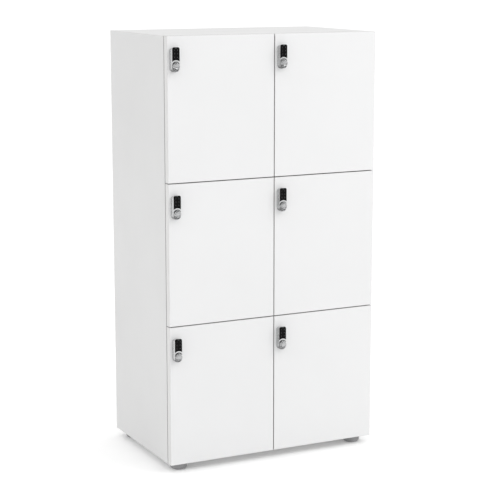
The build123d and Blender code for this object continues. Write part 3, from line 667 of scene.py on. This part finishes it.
def build_knob(place, lock):
    """The knob and its spindle, which turn together."""
    tip, seat = lock.knob_tip, lock.front + KNOB_SEAT

    def cone(y):
        """The grip's radius at a depth: it narrows towards its face."""
        return lock.knob_radius - (seat - y) * KNOB_DRAFT

    flange_back = seat + KNOB_FLANGE[0][1]
    profile = [(SPINDLE_TAIL, lock.spindle_end), (SPINDLE_TAIL, lock.cam_front),
               (SPINDLE, lock.cam_front), (SPINDLE, flange_back)]
    profile += [(lock.knob_radius - inset, seat + behind) for inset, behind in KNOB_FLANGE]
    for k in range(1, GRIP_RINGS + 1):
        at = seat - (GRIP_START + GRIP_PITCH * k)
        cut = cone(at) - GRIP_DEPTH
        profile += [(cone(at + GRIP_MOUTH), at + GRIP_MOUTH), (cut, at + GRIP_FLOOR),
                    (cut, at - GRIP_FLOOR), (cone(at - GRIP_MOUTH), at - GRIP_MOUTH)]
    face_radius = cone(tip + KNOB_ROUND)
    rim = quarter(KNOB_ROUND, ROUND_STEPS, first=0)
    profile += [(face_radius - inset, tip + left) for inset, left in rim]
    profile += [(face_radius * part, tip + deep) for part, deep in FACE_DISH]
    profile.append((FACE_MIDDLE[0], tip + FACE_MIDDLE[1]))
    pointer = rounded_slab(lock.x, tip + POINTER_SUNK, tip + POINTER_BELOW_RIM,
                           lock.z + face_radius * POINTER_UP, POINTER_WIDTH, face_radius * POINTER_LENGTH,
                           POINTER_CORNER, POINTER_ROUND)
    skins = merged([lathe(profile, lock.x, lock.z), pointer])
    knob = piece(f"knob_{place}", *skins, knob_silver, f"{place}_lock_turn_body", "lock_metal", KNOB_SHARP)
    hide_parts(f"lock_knob_{place}")


for lock_place in PLACES:
    plan = LockPlan(lock_place)
    for build in (build_case, build_keypad, build_marks, build_light, build_knob):
        build(lock_place, plan)


# ------------------------------------------------------------------ studio
FLOOR_SIZE = 600.0
FLOOR_WHITE = (0.91, 0.91, 0.91)
# the walls of the studio are darker than its ceiling, which gives the metal its contrast
HORIZON_LIGHT = 0.50
ZENITH_LIGHT = 1.16
CEILING_STARTS = 0.55               # Z of the direction in which the full light is reached


def plain(name, colour, rough, glow):
    """Stage paint with a trace of cloudiness and a little light of its own."""
    shader = Shader(name, rough)
    shade = shader.spread(shader.noise(scale=0.7, detail=2.0), 0.0, 1.0)
    shader.colour(shader.mix(shade, tinted(colour, 0.99), colour))
    shader.principled.inputs["Emission Color"].default_value = (1.0, 1.0, 1.0, 1.0)
    shader.principled.inputs["Emission Strength"].default_value = glow
    return shader.material


bpy.ops.mesh.primitive_plane_add(size=FLOOR_SIZE, location=(0, 0, 0))
floor = bpy.context.object
floor.name = "studio_floor"
floor.data.materials.append(plain("floor_paint", FLOOR_WHITE, rough=0.9, glow=0.13))

world = bpy.data.worlds.new("studio")
bpy.context.scene.world = world
world.use_nodes = True
sky = world.node_tree.nodes["Background"]
sky.inputs["Strength"].default_value = 1.0
direction = world.node_tree.nodes.new("ShaderNodeTexCoord")
split = world.node_tree.nodes.new("ShaderNodeSeparateXYZ")
rise = world.node_tree.nodes.new("ShaderNodeMapRange")
rise.interpolation_type = "SMOOTHSTEP"
rise.inputs["From Min"].default_value = 0.0
rise.inputs["From Max"].default_value = CEILING_STARTS
rise.inputs["To Min"].default_value = HORIZON_LIGHT
rise.inputs["To Max"].default_value = ZENITH_LIGHT
world.node_tree.links.new(direction.outputs["Generated"], split.inputs[0])
world.node_tree.links.new(split.outputs["Z"], rise.inputs["Value"])
world.node_tree.links.new(rise.outputs["Result"], sky.inputs["Color"])

centre = (cad_low + cad_high) / 2


def face(thing, target, away, distance):
    """Puts a lamp or camera at a distance from the target and turns it to look there."""
    thing.location = target + away * distance
    thing.rotation_euler = (-away).to_track_quat("-Z", "Y").to_euler()


# one large square light, high on the right in front of the cabinet
SOFTBOX_SIZE = 2.2
SOFTBOX_POWER = 30.0
SOFTBOX_DISTANCE = 4.2
SOFTBOX_DIRECTION = (0.62, -0.70, 0.72)
lamp = bpy.data.lights.new("key_softbox", "AREA")
lamp.shape = "SQUARE"
lamp.size = SOFTBOX_SIZE
lamp.energy = SOFTBOX_POWER
softbox = bpy.data.objects.new("key_softbox", lamp)
bpy.context.collection.objects.link(softbox)
face(softbox, centre, Vector(SOFTBOX_DIRECTION).normalized(), SOFTBOX_DISTANCE)

# the camera stands to the left of the cabinet's front and looks down on it a little
VIEW_AZIMUTH = math.radians(-26.6)
VIEW_ELEVATION = math.radians(10.57)
VIEW_DISTANCE = 5.559
VIEW_LENS = 110.2
AIM_FROM_CENTRE = (0.017, -0.016, -0.035)
camera_data = bpy.data.cameras.new("camera")
camera_data.lens = VIEW_LENS
camera = bpy.data.objects.new("camera", camera_data)
bpy.context.collection.objects.link(camera)
away = Vector((math.sin(VIEW_AZIMUTH) * math.cos(VIEW_ELEVATION),
               -math.cos(VIEW_AZIMUTH) * math.cos(VIEW_ELEVATION),
               math.sin(VIEW_ELEVATION)))
face(camera, centre + Vector(AIM_FROM_CENTRE), away, VIEW_DISTANCE)
bpy.context.scene.camera = camera
bpy.context.scene.view_settings.view_transform = "Standard"
